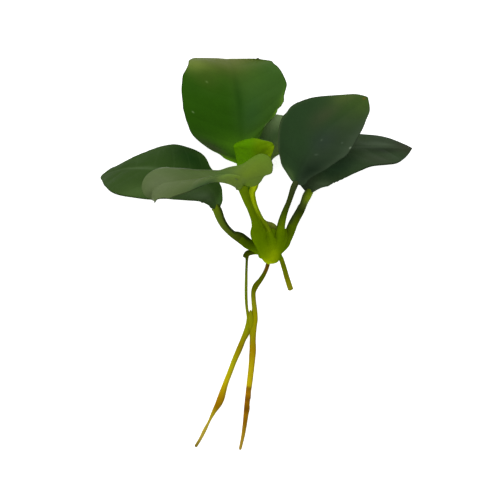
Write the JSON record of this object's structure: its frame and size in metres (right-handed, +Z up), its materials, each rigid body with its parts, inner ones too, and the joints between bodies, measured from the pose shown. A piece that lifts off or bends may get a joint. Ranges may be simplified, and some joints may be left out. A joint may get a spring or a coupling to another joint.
{
  "type": "anubias plant",
  "caption": "Bare-root dwarf anubias plantlet lying flat: broad leathery leaves on short stalks, a stubby green rhizome and trailing roots.",
  "frame": {"origin": "middle of the plant's bounding box, on the surface that it lies on", "axes": "+Y from the root ends towards the top leaf, +Z up from the surface towards the viewer, +X to the viewer's right"},
  "size_m": [0.096, 0.1213, 0.0503],
  "materials": {
    "leaf": "semi-gloss",
    "leaf_pale": "semi-gloss",
    "leaf_young": "semi-gloss",
    "stalk": "satin",
    "rhizome": "satin",
    "bud": "satin",
    "root": "satin"
  },
  "bodies": {
    "root": {"leaf_top": "leaf", "leaf_left": "leaf", "leaf_front": "leaf_pale", "leaf_young": "leaf_young", "leaf_under": "leaf", "leaf_right": "leaf", "leaf_far_right": "leaf", "stalk_top": "stalk", "stalk_left": "stalk", "stalk_front": "stalk", "stalk_young": "stalk", "stalk_under": "stalk", "stalk_right": "stalk", "stalk_far_right": "stalk", "rhizome": "rhizome", "bud": "bud", "root_main": "root", "root_slender": "root", "root_stub": "root"}
  },
  "joints": []
}
